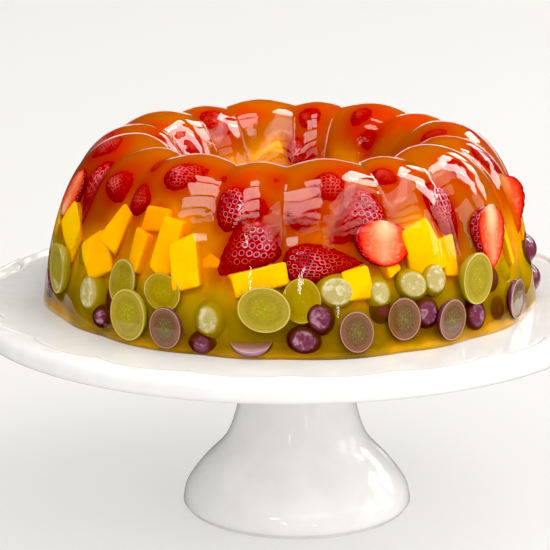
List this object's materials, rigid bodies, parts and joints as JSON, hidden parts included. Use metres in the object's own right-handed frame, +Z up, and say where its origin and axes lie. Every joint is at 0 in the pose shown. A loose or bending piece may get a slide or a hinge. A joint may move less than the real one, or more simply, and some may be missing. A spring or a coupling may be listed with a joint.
{
  "type": "moulded jelly",
  "caption": "Fluted ring of clear amber jelly with strawberries, mango and grapes set in layers, standing on a white glazed cake stand with a wavy raised border.",
  "frame": {"origin": "on the table, under the middle of the plate", "axes": "+Z up, -Y the front of the jelly as pictured, +X to the right"},
  "size_m": [0.3234, 0.3234, 0.1968],
  "materials": {
    "glaze": "white glazed stoneware",
    "amber_jelly": "clear amber gelatine, wet gloss",
    "strawberry": "red skin with pips, pale cut face",
    "mango": "yellow flesh, softly wet",
    "red_grape": "purple skin, olive cut face",
    "green_grape": "green skin, streaked cut face"
  },
  "bodies": {
    "root": {"stand": "glaze", "jelly": "amber_jelly", "strawberry_half_right": "strawberry", "strawberry_half_flush": "strawberry", "strawberry_half_back": "strawberry", "strawberry_half_left_back": "strawberry", "red_grape_right_upper": "red_grape", "red_grape_right_lower": "red_grape", "red_grape_back": "red_grape", "red_grape_half_edge": "red_grape", "red_grape_half_right": "red_grape", "red_grape_half_front": "red_grape", "red_grape_half_left": "red_grape", "red_grape_half_back": "red_grape", "green_grape_half_front": "green_grape", "green_grape_half_left": "green_grape", "green_grape_half_far_left": "green_grape", "green_grape_half_right": "green_grape", "green_grape_half_back": "green_grape"}
  },
  "joints": []
}
